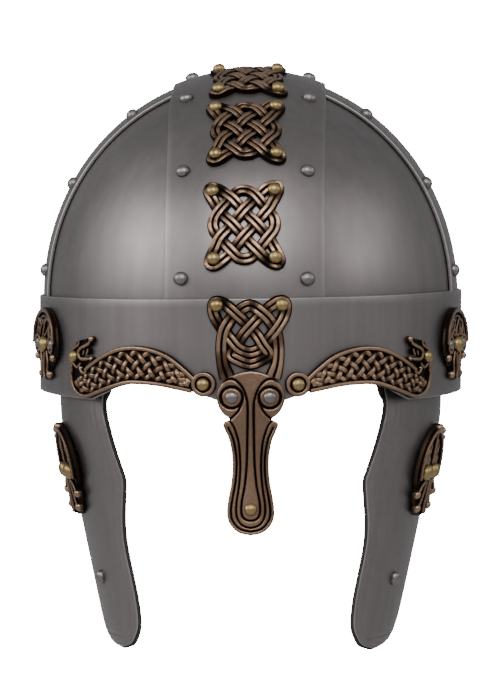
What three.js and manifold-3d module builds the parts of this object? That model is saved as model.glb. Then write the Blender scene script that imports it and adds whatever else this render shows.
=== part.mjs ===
// A norse iron helmet: four skull plates under two crossing straps, a brow band with eye arches,
// cast bronze mounts, a nasal and two hanging cheek guards lined with leather.
// Millimetres, +Z up. The face looks along -Y. The origin is the middle of the head opening,
// level with the brow band's lower edge.
import * as THREE from 'three';
import { mergeVertices } from 'three/addons/utils/BufferGeometryUtils.js';
import { TessellateModifier } from 'three/addons/modifiers/TessellateModifier.js';
import Module from 'manifold-3d';

const wasm = await Module();
wasm.setup();

// ---- driving dimensions ----
const SHEET = 1.5;                  // iron sheet
const GAP = 0.5;                    // clearance between layers
const TURNS = 32;                   // facets round every shell
const BAND = { halfWidth: 105, halfDepth: 123, height: 48, topTilt: 0.8, nasalEnd: -54 };
const SKULL = { halfWidth: 103.1, halfDepth: 121.1, rise: 110.5, springZ: 46, skirtZ: 28 };
const STRAP = { halfWidth: 36.5, turn: -1.5, crossingLift: 1.9, rampStart: 92, rampEnd: 52 };
const PLATE_INNER_EDGE = 20;        // where each skull plate ends under the straps
const RIVET = { head: 3.3, rise: 2.7, shank: 1.5, hole: 1.8, tail: 2.6, tailRise: 1.0, row: 28.5 };
const CASTING = { thickness: 2.8, brass: 3.3, brassRise: 2.8 };
const KNOT = { rivetX: 14.3, rivetUp: 16.4, heights: [18.6, 45, 68.5] };
const GUARD = {
  halfWidth: 94.8, taper: 0.205, tuck: 0.006, tuckFrom: -20, tuckTo: 10, depthRatio: 0.8, centreY: -35,
  reference: 88, turn: 2.7, liningTopZ: 25,
};
const LEATHER = { thickness: 2.5, gap: 1.1 };
const TEMPLE = { angle: 66.5, z: 24, flatten: 105 };
const CHEEK = { angle: 73.5, drop: 36, flatten: 72, stretch: 1.22 };

const STEEL = { color: 0x8a8786, metalness: 1, roughness: 0.42 };
const BRONZE = { color: 0x8a6a4e, metalness: 1, roughness: 0.45 };
const HIDE = { color: 0x1d1613, metalness: 0, roughness: 0.8 };

const radians = THREE.MathUtils.degToRad;
const helmet = new THREE.Group();

// ---- solids ----
function toSolid(geometry) {
  const bare = geometry.clone();
  bare.deleteAttribute('normal');
  bare.deleteAttribute('uv');
  const merged = mergeVertices(bare, 1e-4);
  const mesh = new wasm.Mesh({
    numProp: 3,
    vertProperties: new Float32Array(merged.attributes.position.array),
    triVerts: new Uint32Array(merged.index.array),
  });
  return new wasm.Manifold(mesh);
}

function toGeometry(solid) {
  const mesh = solid.getMesh();
  const geometry = new THREE.BufferGeometry();
  geometry.setAttribute('position', new THREE.BufferAttribute(mesh.vertProperties, 3));
  geometry.setIndex(new THREE.BufferAttribute(mesh.triVerts, 1));
  geometry.computeVertexNormals();
  return geometry;
}

function addPiece(name, geometry, finish) {
  const piece = new THREE.Mesh(geometry, new THREE.MeshStandardMaterial(finish));
  piece.name = name;
  helmet.add(piece);
  return piece;
}

function reshape(geometry, move) {
  const places = geometry.attributes.position;
  const point = new THREE.Vector3();
  for (let i = 0; i < places.count; i += 1) {
    point.fromBufferAttribute(places, i);
    places.setXYZ(i, ...move(point).toArray());
  }
  geometry.computeVertexNormals();
  return geometry;
}

// ---- ellipses ----
// The angle, from the end of the first semi-axis, at which an ellipse's arc reaches a length.
function ellipseAngle(first, second, length) {
  const step = 0.001;
  let angle = 0;
  let walked = 0;
  while (walked < Math.abs(length)) {
    walked += Math.hypot(first * Math.sin(angle), second * Math.cos(angle)) * step;
    angle += step;
  }
  return Math.sign(length) * angle;
}

// The arc length up to an angle, the inverse of the function above.
function ellipseArc(first, second, angle) {
  const steps = 400;
  let walked = 0;
  for (let i = 0; i < steps; i += 1) {
    const middle = ((i + 0.5) / steps) * angle;
    walked += Math.hypot(first * Math.sin(middle), second * Math.cos(middle)) * (angle / steps);
  }
  return walked;
}

// ---- surfaces that flat outlines are bent onto: (across, up, outwards) to a point ----
function ontoBand(flat) {
  const turn = ellipseAngle(BAND.halfDepth, BAND.halfWidth, flat.x);
  const foot = new THREE.Vector3(BAND.halfWidth * Math.sin(turn), -BAND.halfDepth * Math.cos(turn), flat.y);
  const normal = new THREE.Vector3(Math.sin(turn) / BAND.halfWidth, -Math.cos(turn) / BAND.halfDepth, 0);
  return foot.addScaledVector(normal.normalize(), flat.z);
}

function crossingLift(y) {
  const along = (STRAP.rampStart - Math.abs(y)) / (STRAP.rampStart - STRAP.rampEnd);
  return STRAP.crossingLift * THREE.MathUtils.smoothstep(along, 0, 1);
}

// Onto the skull's outer ellipsoid, for the front strap: across it, and along its centre line from the
// springing, then turned with the straps.
function ontoSkull(flat) {
  const climb = ellipseAngle(SKULL.halfDepth, SKULL.rise, flat.y);
  const narrowing = Math.sqrt(1 - (flat.x / SKULL.halfWidth) ** 2);
  const plan = new THREE.Vector3(flat.x, -SKULL.halfDepth * narrowing * Math.cos(climb), 0);
  const foot = plan.applyAxisAngle(new THREE.Vector3(0, 0, 1), radians(STRAP.turn));
  foot.z = SKULL.rise * narrowing * Math.sin(climb);
  const size = new THREE.Vector3(SKULL.halfWidth, SKULL.halfDepth, SKULL.rise);
  foot.multiplyScalar(1 / foot.clone().divide(size).length());
  const normal = foot.clone().divide(size).divide(size).normalize();
  const lift = crossingLift(foot.y);
  foot.z += SKULL.springZ;
  return foot.addScaledVector(normal, flat.z + lift);
}

// Onto a cheek guard's outer face: sections are ellipses that narrow downwards, and tuck in behind the
// band at the top. Both guards hang turned a little to the same side.
function ontoGuard(flat) {
  const tucked = THREE.MathUtils.clamp(flat.y, GUARD.tuckFrom, GUARD.tuckTo) - GUARD.tuckFrom;
  const half = GUARD.halfWidth + GUARD.taper * Math.min(flat.y, 0) - GUARD.tuck * tucked ** 2;
  const deep = half * GUARD.depthRatio;
  const turned = flat.x / GUARD.reference - radians(GUARD.turn);
  const foot = new THREE.Vector3(half * Math.sin(turned), GUARD.centreY - deep * Math.cos(turned), flat.y);
  const normal = new THREE.Vector3(Math.sin(turned) / half, -Math.cos(turned) / deep, 0);
  return foot.addScaledVector(normal.normalize(), flat.z);
}

// ---- the skull ----
// A solid bell: the ellipsoid `depth` inside the straps' outer face, on a straight skirt.
function bell(depth, bottomZ) {
  const radius = SKULL.halfWidth - depth;
  const rise = SKULL.rise - depth;
  const steps = 8;
  const outline = [new THREE.Vector2(0, bottomZ), new THREE.Vector2(radius, bottomZ)];
  for (let i = 0; i <= steps; i += 1) {
    const angle = (i / steps) * (Math.PI / 2);
    const across = i === steps ? 0 : radius * Math.cos(angle);
    outline.push(new THREE.Vector2(across, SKULL.springZ + rise * Math.sin(angle)));
  }
  const geometry = new THREE.LatheGeometry(outline, TURNS).rotateX(Math.PI / 2);
  geometry.scale(1, (SKULL.halfDepth - depth) / radius, 1);
  return toSolid(geometry);
}

function shell(depth) {
  return bell(depth, SKULL.skirtZ).subtract(bell(depth + SHEET, SKULL.skirtZ - 5));
}

// A tall block with its four sides at the given distances, turned with the straps.
function block(x0, x1, y0, y1) {
  const geometry = new THREE.BoxGeometry(x1 - x0, y1 - y0, 400);
  geometry.translate((x0 + x1) / 2, (y0 + y1) / 2, 0);
  geometry.rotateZ(radians(STRAP.turn));
  return toSolid(geometry);
}

function holeAt(place) {
  const geometry = new THREE.CylinderGeometry(RIVET.hole, RIVET.hole, 16, 6);
  geometry.applyQuaternion(place.aim).translate(...place.foot.toArray());
  return toSolid(geometry);
}

function drilled(solid, places) {
  return places.reduce((left, place) => left.subtract(holeAt(place)), solid);
}

// A place on a surface, and the turn that stands a +Y part square to it.
function placeOn(surface, across, up, out = 0) {
  const at = (x, y) => surface(new THREE.Vector3(x, y, out));
  const alongX = at(across + 1, up).sub(at(across - 1, up));
  const alongY = at(across, up + 1).sub(at(across, up - 1));
  const normal = alongX.cross(alongY).normalize();
  const aim = new THREE.Quaternion().setFromUnitVectors(new THREE.Vector3(0, 1, 0), normal);
  return { foot: at(across, up), aim };
}

// A round-headed iron rivet: head, shank through the layers, and hammered tail inside.
function rivetGeometry(grip) {
  const half = RIVET.head;
  const outline = [
    [0, -grip - RIVET.tailRise],
    [RIVET.tail, -grip],
    [RIVET.shank, -grip],
    [RIVET.shank, GAP],
    [half, GAP],
    [half * 0.72, GAP + RIVET.rise * 0.72],
    [0, GAP + RIVET.rise],
  ].map(([across, up]) => new THREE.Vector2(across, up));
  return new THREE.LatheGeometry(outline, 6);
}

function addRivets(prefix, places, grip, lift = () => 0) {
  places.forEach((place, index) => {
    const rivet = addPiece(`${prefix}_${index + 1}`, rivetGeometry(grip + lift(place.foot.y)), STEEL);
    rivet.position.copy(place.foot);
    rivet.quaternion.copy(place.aim);
  });
}

// Rivet places on the front strap, front and back, and on the side strap, left and right.
const arcAt = (degrees) => ellipseArc(SKULL.halfDepth, SKULL.rise, radians(degrees));
const halfway = new THREE.Quaternion().setFromAxisAngle(new THREE.Vector3(0, 0, 1), Math.PI);

function turnedRound(place) {
  return {
    foot: place.foot.clone().applyQuaternion(halfway),
    aim: place.aim.clone().premultiply(halfway),
  };
}

const frontRows = [5.8, 34, 61.4].flatMap((degrees) => [-1, 1].map((side) => (
  placeOn(ontoSkull, side * RIVET.row, arcAt(degrees)))));
const crownRow = [-1, 1].map((side) => placeOn(ontoSkull, side * RIVET.row, arcAt(90)));
const backRows = frontRows.map(turnedRound);

function ontoSideStrap(flat) {
  const climb = radians(flat.y);
  const narrowing = Math.sqrt(1 - (flat.x / SKULL.halfDepth) ** 2);
  const plan = new THREE.Vector3(SKULL.halfWidth * narrowing * Math.cos(climb), flat.x, 0);
  const foot = plan.applyAxisAngle(new THREE.Vector3(0, 0, 1), radians(STRAP.turn));
  foot.z = SKULL.rise * narrowing * Math.sin(climb);
  const size = new THREE.Vector3(SKULL.halfWidth, SKULL.halfDepth, SKULL.rise);
  foot.multiplyScalar(1 / foot.clone().divide(size).length());
  const normal = foot.clone().divide(size).divide(size).normalize();
  foot.z += SKULL.springZ;
  return foot.addScaledVector(normal, flat.z);
}

const rightRows = [7, 31, 55.4].flatMap((degrees) => [-1, 1].map((side) => (
  placeOn(ontoSideStrap, side * RIVET.row, degrees))));
const leftRows = rightRows.map(turnedRound);
const strapPlaces = [...frontRows, ...backRows, ...crownRow];
const sidePlaces = [...rightRows, ...leftRows];

const outerLayer = shell(0);
const plateLayer = shell(SHEET + GAP);
const strapBlock = block(-STRAP.halfWidth, STRAP.halfWidth, -200, 200);
const frontStrap = toGeometry(drilled(outerLayer.intersect(strapBlock), strapPlaces));
const skullCentre = new THREE.Vector3(0, 0, SKULL.springZ);
reshape(frontStrap, (point) => {
  const outwards = point.clone().sub(skullCentre).normalize();
  return point.addScaledVector(outwards, crossingLift(point.y));
});
addPiece('sagittal_strap', frontStrap, STEEL);

const sideBlock = block(-200, 200, -STRAP.halfWidth, STRAP.halfWidth);
const sideStrap = drilled(outerLayer.intersect(sideBlock), [...sidePlaces, ...crownRow]);
// The side strap passes under the front strap only where that one is lifted, so it stays whole.
addPiece('lateral_strap', toGeometry(sideStrap), STEEL);

const quarters = { front_left: [-1, -1], front_right: [1, -1], back_right: [1, 1], back_left: [-1, 1] };
Object.entries(quarters).forEach(([name, [alongX, alongY]]) => {
  const xs = [alongX * PLATE_INNER_EDGE, alongX * 200].sort((a, b) => a - b);
  const ys = [alongY * PLATE_INNER_EDGE, alongY * 200].sort((a, b) => a - b);
  const quarter = plateLayer.intersect(block(...xs, ...ys));
  addPiece(`skull_plate_${name}`, toGeometry(drilled(quarter, [...strapPlaces, ...sidePlaces])), STEEL);
});
const skullGrip = 2 * SHEET + GAP + 1.2;
addRivets('strap_rivet', strapPlaces, skullGrip, crossingLift);
addRivets('side_rivet', sidePlaces, skullGrip);

// ---- the brow band ----
// The eye arches and the tongue behind the nasal, as the edge that the front of the band is cut to.
function browEdge() {
  const side = [[4, -54], [7.5, -50], [7.5, -44], [5.5, -24], [6.5, -8], [12, 1.5], [24, 5], [36, 8.5]];
  side.push([45, 10], [58, 9.6], [66, 7.5], [74, 4], [84, 0]);
  const placed = side.map(([along, z]) => [ontoBand(new THREE.Vector3(along, z, 0)).x, z]);
  const mirrored = placed.map(([x, z]) => [-x, z]).reverse();
  return [...mirrored, ...placed];
}

function bandSolid() {
  const wall = [
    [BAND.halfWidth - SHEET, BAND.nasalEnd],
    [BAND.halfWidth, BAND.nasalEnd],
    [BAND.halfWidth, BAND.height + 4],
    [BAND.halfWidth - SHEET, BAND.height + 4],
    [BAND.halfWidth - SHEET, BAND.nasalEnd],
  ].map(([across, up]) => new THREE.Vector2(across, up));
  const ring = new THREE.LatheGeometry(wall, TURNS).rotateX(Math.PI / 2);
  ring.scale(1, BAND.halfDepth / BAND.halfWidth, 1);
  const cut = new THREE.Shape();
  cut.moveTo(-200, 0);
  browEdge().forEach(([x, z]) => cut.lineTo(x, z));
  cut.lineTo(200, 0);
  cut.lineTo(200, -100);
  cut.lineTo(-200, -100);
  const front = new THREE.ExtrudeGeometry(cut, { depth: 130, bevelEnabled: false });
  front.rotateX(Math.PI / 2);
  const back = new THREE.BoxGeometry(400, 200, 100).translate(0, 90, -50);
  const above = new THREE.BoxGeometry(400, 400, 40).translate(0, 0, BAND.height + 20);
  above.translate(0, 0, -BAND.height).rotateY(-radians(BAND.topTilt)).translate(0, 0, BAND.height);
  return toSolid(ring).subtract(toSolid(front)).subtract(toSolid(back)).subtract(toSolid(above));
}

const NASAL_EYES = [-8.2, 8.2];
const nasalPlaces = NASAL_EYES.map((across) => placeOn(ontoBand, across, 4, CASTING.thickness + GAP));
const bandBack = ellipseArc(BAND.halfDepth, BAND.halfWidth, Math.PI);
const bandPlaces = [-78, -26, 26, 78].map((across) => placeOn(ontoBand, bandBack + across, 20));
addPiece('brow_band', toGeometry(drilled(bandSolid(), [...nasalPlaces, ...bandPlaces])), STEEL);
addRivets('band_rivet', bandPlaces, SHEET + 0.9);

// ---- cast bronze mounts ----
// A flat casting with its rivet heads cast on, cut small enough to bend smoothly onto its surface.
function flatCasting(points, heads, thickness, lift) {
  const shape = new THREE.Shape(points.map(([x, y]) => new THREE.Vector2(x, y)));
  const body = new THREE.ExtrudeGeometry(shape, { depth: thickness, bevelEnabled: false });
  body.translate(0, 0, lift);
  let solid = toSolid(body);
  heads.forEach(([x, y, radius]) => {
    const outline = [
      [0, lift + thickness / 2],
      [radius, lift + thickness / 2],
      [radius, lift + thickness + 0.2],
      [radius * 0.7, lift + thickness + CASTING.brassRise * 0.7],
      [0, lift + thickness + CASTING.brassRise],
    ].map(([across, up]) => new THREE.Vector2(across, up));
    const head = new THREE.LatheGeometry(outline, 6).rotateX(Math.PI / 2).translate(x, y, 0);
    solid = solid.add(toSolid(head));
  });
  return toGeometry(solid);
}

function bent(flat, surface, longestEdge = 15) {
  const loose = flat.toNonIndexed();
  loose.deleteAttribute('normal');
  const fine = new TessellateModifier(longestEdge, 8).modify(loose);
  const curved = reshape(mergeVertices(fine, 1e-3), surface);
  return curved;
}

// The same outline on both sides of its middle line, listed down the +X side.
function mirroredOutline(half) {
  const other = half.filter(([x]) => x > 0).map(([x, y]) => [-x, y]).reverse();
  return [...half, ...other];
}

// Knot plates up the front of the strap and down the back.
const knotHalf = [
  [0, 18.3], [7, 17], [12, 19.6], [16.2, 21.4], [18.8, 18], [17.2, 12.4],
  [14.6, 8], [17.2, 0], [14.6, -8], [17.2, -12.4], [18.8, -18], [16.2, -21.4], [12, -19.6],
  [7, -17], [0, -18.3],
];
const knotHeads = [-1, 1].flatMap((x) => [-1, 1].map((y) => [x * KNOT.rivetX, y * KNOT.rivetUp, CASTING.brass]));
KNOT.heights.forEach((degrees, index) => {
  const plate = flatCasting(mirroredOutline(knotHalf), knotHeads, CASTING.thickness, GAP);
  const middle = arcAt(degrees);
  const front = bent(plate, (flat) => ontoSkull(flat.clone().setY(flat.y + middle)));
  addPiece(`knot_plate_front_${index + 1}`, front, BRONZE);
  addPiece(`knot_plate_back_${index + 1}`, front.clone().rotateZ(Math.PI), BRONZE);
});

// The knot on the middle of the brow, ending over the nasal's head.
const browKnotHalf = [
  [0, 48.8], [8, 47.8], [14.6, 51.6], [18.8, 48], [17.4, 42], [14.6, 37], [16.4, 28.5],
  [15.4, 19.5], [12.9, 13.3], [8.5, 14], [0, 16.6],
];
const browKnotHeads = [[-14.4, 46.6, CASTING.brass], [14.4, 46.6, CASTING.brass]];
const browKnot = flatCasting(mirroredOutline(browKnotHalf), browKnotHeads, CASTING.thickness, GAP);
addPiece('brow_knot', bent(browKnot, ontoBand), BRONZE);

// The nasal casting over the band's tongue, held by two iron rivets and one brass one.
const nasalHalf = [
  [0, 15.3], [6, 12.6], [11, 10.8], [15, 6.6], [15.2, 2.6], [12.8, -2.6], [9.7, -6.1], [12.5, -8.7],
  [11.6, -12], [8.7, -18], [8, -25.6], [8.8, -36], [10.5, -47.2], [9.4, -53.4], [5.4, -57.4], [0, -58.4],
];
const nasalHeads = [[0, -46.5, CASTING.brass]];
const nasal = bent(flatCasting(mirroredOutline(nasalHalf), nasalHeads, CASTING.thickness, GAP), ontoBand);
addPiece('nasal', toGeometry(drilled(toSolid(nasal), nasalPlaces)), BRONZE);
addRivets('nasal_rivet', nasalPlaces, CASTING.thickness + 2 * GAP + SHEET + 0.9);

// Lens-shaped brow plates with a beast's head over each outer end.
const browPlateOutline = [
  [15.6, 11], [18.4, 14.7], [22.5, 15.4], [33.8, 21.1], [43, 24.4], [55.2, 25.8], [67.7, 24.1],
  [76.9, 19.8], [85.5, 13.8], [84, 20], [81.3, 28], [84.6, 29.8], [92.8, 27], [98.6, 23.6],
  [100.9, 18], [100.9, 7.5], [97.6, 3], [91.1, 0], [84, 0.8], [76.8, 3.2], [63, 8], [44.5, 8.4],
  [35.2, 6.7], [26.5, 3.8], [21, 3.6], [17, 5.4],
];
const browPlateHeads = [[20.9, 9.5, CASTING.brass], [97, 19.5, 2.6]];

// Beast-mask mounts on the temples, on the band.
const templeHalf = [
  [0, 17.6], [8.5, 15.6], [15, 10], [18.6, 2], [17.6, -4], [13.4, -5.6], [11.4, -9], [7.2, -11.6],
  [5.4, -16.2], [0, -17.4],
];

// Shield-shaped beast mounts on the cheek guards.
const cheekHalf = [
  [0, 21.5], [5, 19.6], [10.4, 13], [13.2, 4], [12.8, -4], [10, -8.6], [12, -11.4], [9.6, -15],
  [8, -18.4], [4, -21], [0, -21.8],
];

// ---- cheek guards ----
// Half the guard's outline is its front edge, half its rear edge: [angle round, drop below the band].
const guardFront = [
  [46, -8], [46, 4], [44.7, 14], [43.3, 24], [41.7, 33], [41, 38], [42.5, 47], [44.4, 57],
  [45.4, 67], [45.2, 77], [44.6, 86], [44.2, 96], [44.9, 106], [47.2, 112], [52, 117.6],
];
const guardRear = [
  [60, 120.5], [67, 119.6], [74, 117.6], [81, 113], [86, 106], [89, 96], [91.5, 80], [93.5, 50],
  [96, 14], [97, -8],
];
const liningLip = 1.2;
const toFlat = ([angle, drop]) => [radians(angle) * GUARD.reference, -drop];
const guardOutline = [...guardFront, ...guardRear].map(toFlat);
const lipped = guardFront.map(([angle, drop]) => [angle - 0.3, drop + (drop > 110 ? liningLip : 0)]);
const liningOutline = [...lipped, ...guardRear.map(([angle, drop]) => [angle, drop + 0.6])].map(toFlat);
liningOutline[0][1] = GUARD.liningTopZ;
liningOutline[liningOutline.length - 1][1] = GUARD.liningTopZ;
const guardRivetSpot = [radians(64.8) * GUARD.reference, -87];

const liningDepth = SHEET + LEATHER.gap + LEATHER.thickness;

[['left', -1], ['right', 1]].forEach(([name, side]) => {
  const sided = (points) => points.map(([x, ...rest]) => [x * side, ...rest]);
  const browPlate = flatCasting(sided(browPlateOutline), sided(browPlateHeads), CASTING.thickness, GAP);
  addPiece(`brow_plate_${name}`, bent(browPlate, ontoBand), BRONZE);

  const templeAcross = side * ellipseArc(BAND.halfDepth, BAND.halfWidth, radians(TEMPLE.angle));
  const templeHeads = [[0, 0, 3.8], [-11, 0.5, 2.6], [11, 0.5, 2.6]];
  const temple = flatCasting(mirroredOutline(templeHalf), templeHeads, CASTING.thickness, GAP + 0.5);
  addPiece(`temple_mount_${name}`, bent(temple, (flat) => {
    const lifted = flat.clone().setZ(flat.z + flat.x ** 2 / (2 * TEMPLE.flatten));
    return ontoBand(lifted.setX(flat.x + templeAcross).setY(flat.y + TEMPLE.z));
  }), BRONZE);

  const rivetPlace = placeOn(ontoGuard, side * guardRivetSpot[0], guardRivetSpot[1]);
  const guard = bent(flatCasting(sided(guardOutline), [], SHEET, -SHEET), ontoGuard, 20);
  addPiece(`cheek_guard_${name}`, toGeometry(drilled(toSolid(guard), [rivetPlace])), STEEL);
  const lining = bent(flatCasting(sided(liningOutline), [], LEATHER.thickness, -liningDepth), ontoGuard, 20);
  addPiece(`cheek_lining_${name}`, toGeometry(drilled(toSolid(lining), [rivetPlace])), HIDE);
  addRivets(`guard_rivet_${name}`, [rivetPlace], liningDepth + 0.5);

  const cheekAcross = side * radians(CHEEK.angle) * GUARD.reference;
  const cheekHeads = [[-4.6, -0.5, 3.8], [4.6, -0.5, 3.8]];
  const cheek = flatCasting(mirroredOutline(cheekHalf), cheekHeads, CASTING.thickness, GAP + 1.2);
  addPiece(`cheek_mount_${name}`, bent(cheek, (flat) => {
    const lifted = flat.clone().setZ(flat.z + flat.x ** 2 / (2 * CHEEK.flatten));
    return ontoGuard(lifted.setX(flat.x * CHEEK.stretch + cheekAcross).setY(flat.y - CHEEK.drop));
  }), BRONZE);
});

export default helmet;
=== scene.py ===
"""The looks of a norse iron helmet: satin iron sheet, cast bronze knotwork and leather-lined cheek guards.

Every piece is worked out in flat coordinates, in millimetres: across, up, and out from a surface. It is
then laid onto that surface (the skull, the brow band or a cheek guard) and written in metres.
"""

import math

import bmesh
import bpy
import numpy as np
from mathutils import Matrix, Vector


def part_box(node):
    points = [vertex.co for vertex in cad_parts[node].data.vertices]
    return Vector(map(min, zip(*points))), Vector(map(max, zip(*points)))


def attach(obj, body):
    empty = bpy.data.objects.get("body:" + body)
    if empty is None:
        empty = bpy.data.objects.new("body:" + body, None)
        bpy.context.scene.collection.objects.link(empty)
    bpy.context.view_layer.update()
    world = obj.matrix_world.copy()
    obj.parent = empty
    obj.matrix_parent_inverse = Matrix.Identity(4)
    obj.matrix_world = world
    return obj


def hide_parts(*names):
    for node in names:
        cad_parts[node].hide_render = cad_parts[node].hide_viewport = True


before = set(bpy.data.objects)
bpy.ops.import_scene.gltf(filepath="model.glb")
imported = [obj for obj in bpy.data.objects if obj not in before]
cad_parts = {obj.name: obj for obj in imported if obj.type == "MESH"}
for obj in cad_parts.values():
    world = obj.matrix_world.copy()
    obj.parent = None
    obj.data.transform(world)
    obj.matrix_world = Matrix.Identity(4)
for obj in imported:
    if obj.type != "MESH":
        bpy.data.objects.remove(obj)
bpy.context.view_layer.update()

# ---- sizes, in millimetres: the large ones come from the frame ----
MM = 0.001
BAND_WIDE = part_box("brow_band")[1][0] / MM          # half widths of the brow band, outside
BAND_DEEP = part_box("brow_band")[1][1] / MM
SKULL_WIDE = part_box("lateral_strap")[1][0] / MM     # the straps' outer ellipsoid
SKULL_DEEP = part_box("sagittal_strap")[1][1] / MM
SPRING = 46.0                                       # height of the ellipsoid's centre
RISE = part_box("lateral_strap")[1][2] / MM - SPRING
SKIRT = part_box("lateral_strap")[0][2] / MM          # the straps' lower ends, behind the band
BAND_TOP, BAND_TILT = 48.0, math.radians(0.8)
SHEET, GAP, CAST = 1.5, 0.5, 2.8                    # sheet, the air between layers, and a casting
SIDES = {"left": -1, "right": 1}                    # as seen from in front
STRAP_HALF, STRAP_TURN = 36.5, math.radians(-1.5)
LIFT, RAMP_START, RAMP_END = 1.9, 92.0, 52.0        # the front strap's rise over the side strap
BRIDGE, BRIDGE_RAMP = 38.0, 4.0                     # where its underside bridges the side strap
PLATE_EDGE = 20.0                                   # from a strap's middle line to the plates under it
RIVET_ROW = 28.5                                    # from a strap's middle line to its rivets
FRONT_RIVETS = np.radians((5.8, 34, 61.4))          # climbs up the straps to their rivets
SIDE_RIVETS = np.radians((7, 31, 55.4))
BAND_RIVETS, BAND_RIVETS_UP = (-78, -26, 26, 78), 20
EYE_ACROSS, EYE_UP = 8.3, 3.8                       # the nasal's eyes
ROUNDEL = (20.9, 9.5)                               # the brow plates' round ends, beside the nasal
TEMPLE_ANGLE, TEMPLE_UP = math.radians(66.5), 24
CHEEK_ANGLE, CHEEK_UP = math.radians(73.5), -36
TIP_RIVET_ANGLE, TIP_RIVET_UP = math.radians(64.8), -87
GUARD_WIDE, GUARD_TAPER, GUARD_ROUND, GUARD_BACK = 94.8, 0.205, 0.8, -35.0
GUARD_TUCK, TUCK_FROM, TUCK_TO = 0.006, -20.0, 10.0
GUARD_SCALE, GUARD_TURN = 88.0, math.radians(2.7)
GUARD_FRONT = [(46, -8), (46, 4), (44.7, 14), (43.3, 24), (41.7, 33), (41, 38), (42.5, 47), (44.4, 57),
               (45.4, 67), (45.2, 77), (44.6, 86), (44.2, 96), (44.9, 106), (47.2, 112), (52, 117.6),
               (60, 120.5)]
GUARD_REAR = [(97, -8), (96, 14), (93.5, 50), (91.5, 80), (89, 96), (86, 106), (81, 113), (74, 117.6),
              (67, 119.6), (60, 120.5)]
GUARD_HIGH, GUARD_LOW = 8, 120.5                    # reach above and below the band's lower edge
LINING_HIGH, LINING_SHOWS = 25, 0.8                 # the leather's reach above it, and past the iron below
LINING_GAP, LINING = 0.3, 1.7
BROW_EDGE = [(0, 1.5), (12, 1.5), (24, 5), (36, 8.5), (45, 10), (58, 9.6), (66, 7.5), (74, 4), (84, 0)]
KNOT_CLIMBS = np.radians((18.6, 45.0, 68.5))        # climbs up the front strap to the knot plates
KNOT_UNIT = (5.3, 6.2)                              # from one crossing of the strands to the next
KNOT_LIFT = 0.6                                     # how far a strand rises and dips where it crosses
KNOT_RIVET = (13.5, 16.0)
KNOT_TURN = math.radians(1.5)                       # the mounts sit a little askew
CREASE = math.radians(50)                           # edges sharper than this are not smoothed


# ---- camera and studio ----
def studio():
    """Camera level with the brow, a pale sweep behind and below, and three soft lights aimed at the helmet.

    The sweep is a level floor, a quarter circle of 1 m and an upright wall.
    """
    scene = bpy.context.scene
    camera = bpy.data.objects.new("camera", bpy.data.cameras.new("camera"))
    scene.collection.objects.link(camera)
    distance, tilt, aim = 1.15, math.radians(3.0), 0.0185
    camera.location = (0, -distance * math.cos(tilt), aim + distance * math.sin(tilt))
    camera.rotation_euler = (math.pi / 2 - tilt, 0, 0)
    camera.data.lens = 118
    camera.data.sensor_width = 36
    camera.data.shift_x = -0.001
    scene.camera = camera

    across = np.linspace(-6, 6, 2)
    bend = np.radians(np.linspace(0, 90, 13))
    depth = np.concatenate([[-5], 3 + np.sin(bend), [4]])
    height = np.concatenate([[0], 1 - np.cos(bend), [6]]) - 0.42
    x, y = np.meshgrid(across, depth)
    z = np.repeat(height[:, None], 2, axis=1)
    sweep = bpy.data.meshes.new("studio_sweep")
    sweep.from_pydata(np.stack([x, y, z], -1).reshape(-1, 3).tolist(), [], grid_faces(15, 2).tolist())
    sweep.polygons.foreach_set("use_smooth", [True] * len(sweep.polygons))
    floor = bpy.data.objects.new("studio_sweep", sweep)
    scene.collection.objects.link(floor)
    floor.data.materials.append(pale_paper())

    lights = {                                      # place, width, height in metres, and watts
        "left_softbox": ((-1.5, -0.55, 0.72), 1.3, 0.8, 30),
        "right_softbox": ((1.6, -0.5, 0.75), 1.1, 0.8, 13),
        "front_softbox": ((0.0, -1.6, 1.25), 1.5, 0.9, 54),
    }
    for name, (place, wide, tall, power) in lights.items():
        light = bpy.data.lights.new(name, "AREA")
        light.shape = "RECTANGLE"
        light.size, light.size_y, light.energy = wide, tall, power
        lamp = bpy.data.objects.new(name, light)
        lamp.location = place
        toward = np.array([0, 0, 0.03]) - np.array(place)
        yaw = math.atan2(toward[1], toward[0]) - math.pi / 2
        pitch = math.atan2(toward[2], math.hypot(toward[0], toward[1]))
        lamp.rotation_euler = (math.pi / 2 + pitch, 0, yaw)
        scene.collection.objects.link(lamp)

    world = bpy.data.worlds.new("studio")
    scene.world = world
    world.use_nodes = True
    world.node_tree.nodes["Background"].inputs["Color"].default_value = (0.95, 0.97, 1.0, 1)
    world.node_tree.nodes["Background"].inputs["Strength"].default_value = 0.7


# ---- surfaces ----
def arc_table(first, second):
    """Arc length of half an ellipse against the angle from the end of its first semi-axis."""
    angle = np.linspace(0, math.pi, 2001)
    speed = np.hypot(first * np.sin(angle), second * np.cos(angle))
    length = np.concatenate([[0], np.cumsum((speed[1:] + speed[:-1]) / 2 * np.diff(angle))])
    return length, angle


def climbed(arc, angle):
    """Distance along an arc at which it has turned by an angle, read between the table's steps."""
    return np.interp(angle, arc[1], arc[0])


BAND_ARC = arc_table(BAND_DEEP, BAND_WIDE)
FRONT_ARC = arc_table(SKULL_DEEP, RISE)
SIDE_ARC = arc_table(SKULL_WIDE, RISE)


def unit(vectors):
    """Vectors over their own lengths."""
    return vectors / np.linalg.norm(vectors, axis=-1, keepdims=True)


def onto_band(across, up, out):
    """An elliptical cylinder: across is arc length from the middle of the brow, up is height."""
    angle = np.sign(across) * np.interp(np.abs(across), *BAND_ARC)
    foot = np.stack([BAND_WIDE * np.sin(angle), -BAND_DEEP * np.cos(angle), up], -1)
    normal = unit(np.stack([np.sin(angle) / BAND_WIDE, -np.cos(angle) / BAND_DEEP, 0 * angle], -1))
    return (foot + normal * out[..., None]) * MM


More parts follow.
